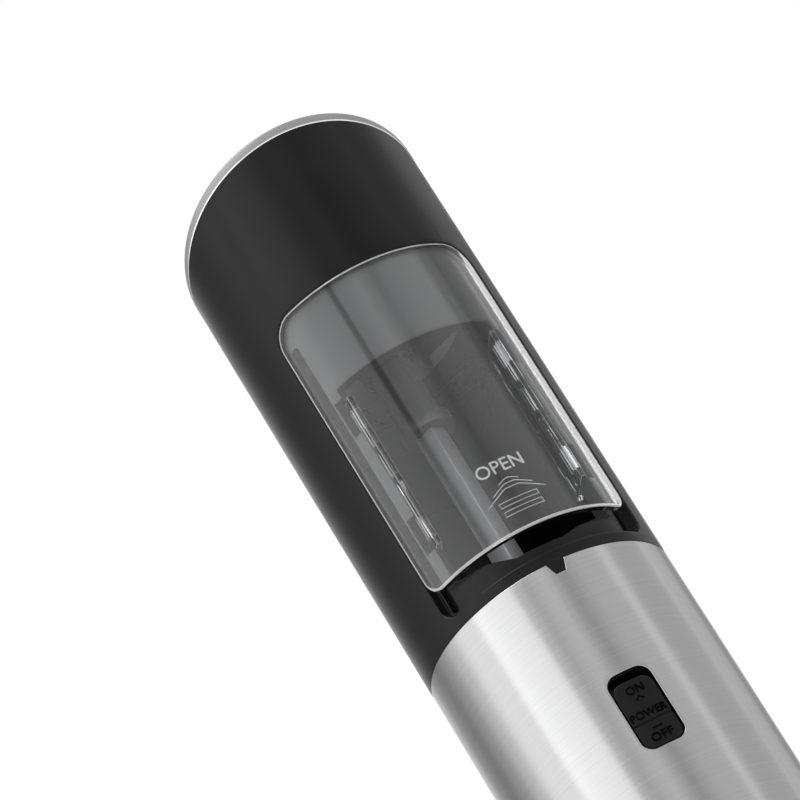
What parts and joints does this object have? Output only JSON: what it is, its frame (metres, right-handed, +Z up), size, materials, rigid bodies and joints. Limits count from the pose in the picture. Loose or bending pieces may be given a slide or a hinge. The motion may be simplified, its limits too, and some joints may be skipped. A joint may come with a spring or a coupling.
{
  "type": "electric pepper mill",
  "caption": "Battery pepper mill: steel lower body with power slider, black head with clear sliding refill cover, square drive shaft, burrs and a slanted lidded outlet.",
  "frame": {"origin": "centre of the rubber foot's resting plane, on the mill's axis", "axes": "+Z up the mill's axis to the slanted outlet, -Y out of the front with the power slider and the refill cover, +X to the right as seen facing the front"},
  "size_m": [0.052, 0.052, 0.2231],
  "materials": {
    "black_satin": "satin moulded, soft edge highlights",
    "sleeve_steel": "brushed round the body",
    "clear_cover": "clear, polished",
    "lid_grey": "satin metal-look grey",
    "black_rubber": "matt",
    "inner_black": "moulded",
    "inner_white": "moulded acetal",
    "cell_jacket": "printed jacket without any lettering",
    "zinc_steel": "plain",
    "magnet": "sintered ferrite",
    "copper_armature": "wound",
    "brass_gear": "machined",
    "board_green": "solder resist",
    "shaft_steel": "drawn square bar",
    "burr_ceramic": "fired ceramic, off white"
  },
  "bodies": {
    "power_unit": {"chassis": "inner_black", "steel_sleeve": "sleeve_steel", "battery_magazine": "inner_black", "battery_cells": "cell_jacket", "contact_springs": "zinc_steel", "contact_plates": "zinc_steel", "motor_can": "zinc_steel", "motor_endbell": "inner_white", "motor_magnets": "magnet", "motor_plate": "zinc_steel", "gearbox_housing": "inner_white", "deck_plate": "inner_black", "deck_screws": "zinc_steel", "circuit_board": "board_green", "board_parts": "zinc_steel", "slide_switch": "inner_black", "switch_frame": "black_satin"},
    "base_cap": {"base_cap": "black_satin", "foot_pad": "black_rubber"},
    "power_slider": {"power_slider": "black_satin"},
    "motor_rotor": {"motor_rotor": "copper_armature", "motor_pinion": "brass_gear"},
    "first_carrier": {"first_carrier": "inner_white"},
    "planet_1a": {"planet_1a": "inner_white"},
    "planet_1b": {"planet_1b": "inner_white"},
    "planet_1c": {"planet_1c": "inner_white"},
    "drive": {"output_carrier": "shaft_steel", "drive_shaft": "shaft_steel"},
    "planet_2a": {"planet_2a": "inner_white"},
    "planet_2b": {"planet_2b": "inner_white"},
    "planet_2c": {"planet_2c": "inner_white"},
    "head": {"head_shell": "black_satin", "hopper_floor": "inner_black", "shaft_seal": "black_rubber", "burr_frame": "inner_black", "frame_screws": "zinc_steel"},
    "refill_cover": {"refill_cover": "clear_cover"},
    "inner_burr": {"burr_hub": "inner_black", "inner_burr": "burr_ceramic", "burr_nut": "zinc_steel", "burr_screw": "zinc_steel"},
    "outer_burr": {"outer_burr": "burr_ceramic"},
    "coarseness_ring": {"coarseness_ring": "inner_black"},
    "outlet_lid": {"outlet_lid": "lid_grey", "lid_seal": "black_rubber"}
  },
  "joints": [
    {"name": "cap_twist", "type": "hinge", "parent": "power_unit", "child": "base_cap", "pos_m": [0, 0, 0.006], "axis": [0, 0, 1], "range_deg": [0, 30]},
    {"name": "power_slide", "type": "slide", "parent": "power_unit", "child": "power_slider", "axis": [0, 0, 1], "range_m": [0, 0.0015]},
    {"name": "motor_spin", "type": "hinge", "parent": "power_unit", "child": "motor_rotor", "pos_m": [0, 0, 0.08], "axis": [0, 0, 1], "continuous": true},
    {"name": "first_carrier_spin", "type": "hinge", "parent": "power_unit", "child": "first_carrier", "pos_m": [0, 0, 0.098], "axis": [0, 0, 1], "continuous": true},
    {"name": "shaft_spin", "type": "hinge", "parent": "power_unit", "child": "drive", "pos_m": [0, 0, 0.105], "axis": [0, 0, 1], "continuous": true},
    {"name": "planet_1a_spin", "type": "hinge", "parent": "first_carrier", "child": "planet_1a", "pos_m": [0.00675, 0, 0.1], "axis": [0, 0, 1], "continuous": true},
    {"name": "planet_2a_spin", "type": "hinge", "parent": "drive", "child": "planet_2a", "pos_m": [0.00675, 0, 0.1], "axis": [0, 0, 1], "continuous": true},
    {"name": "planet_1b_spin", "type": "hinge", "parent": "first_carrier", "child": "planet_1b", "pos_m": [-0.00337, 0.00585, 0.1], "axis": [0, 0, 1], "continuous": true},
    {"name": "planet_2b_spin", "type": "hinge", "parent": "drive", "child": "planet_2b", "pos_m": [-0.00337, 0.00585, 0.1], "axis": [0, 0, 1], "continuous": true},
    {"name": "planet_1c_spin", "type": "hinge", "parent": "first_carrier", "child": "planet_1c", "pos_m": [-0.00337, -0.00585, 0.1], "axis": [0, 0, 1], "continuous": true},
    {"name": "planet_2c_spin", "type": "hinge", "parent": "drive", "child": "planet_2c", "pos_m": [-0.00337, -0.00585, 0.1], "axis": [0, 0, 1], "continuous": true},
    {"name": "head_pull", "type": "slide", "parent": "power_unit", "child": "head", "axis": [0, 0, 1], "range_m": [0, 0.062]},
    {"name": "cover_slide", "type": "slide", "parent": "head", "child": "refill_cover", "axis": [0, 0, 1], "range_m": [-0.0064, 0]},
    {"name": "burr_spin", "type": "hinge", "parent": "head", "child": "inner_burr", "pos_m": [0, 0, 0.18], "axis": [0, 0, 1], "continuous": true},
    {"name": "coarseness_turn", "type": "hinge", "parent": "head", "child": "coarseness_ring", "pos_m": [0, 0, 0.197], "axis": [0, 0, 1], "range_deg": [0, 270]},
    {"name": "outer_burr_slide", "type": "slide", "parent": "head", "child": "outer_burr", "axis": [0, 0, 1], "range_m": [-0.0012, 0]},
    {"name": "lid_pull", "type": "slide", "parent": "head", "child": "outlet_lid", "axis": [0, 0, 1], "range_m": [0, 0.03]}
  ],
  "couplings": [
    {"joint": "first_carrier_spin", "follows": "motor_spin", "ratio": 0.22222},
    {"joint": "shaft_spin", "follows": "motor_spin", "ratio": 0.049383},
    {"joint": "planet_1a_spin", "follows": "motor_spin", "ratio": -0.62222},
    {"joint": "planet_2a_spin", "follows": "motor_spin", "ratio": -0.13827},
    {"joint": "planet_1b_spin", "follows": "motor_spin", "ratio": -0.62222},
    {"joint": "planet_2b_spin", "follows": "motor_spin", "ratio": -0.13827},
    {"joint": "planet_1c_spin", "follows": "motor_spin", "ratio": -0.62222},
    {"joint": "planet_2c_spin", "follows": "motor_spin", "ratio": -0.13827},
    {"joint": "burr_spin", "follows": "motor_spin", "ratio": 0.049383},
    {"joint": "outer_burr_slide", "follows": "coarseness_turn", "m_per_rad": -0.00025253}
  ]
}
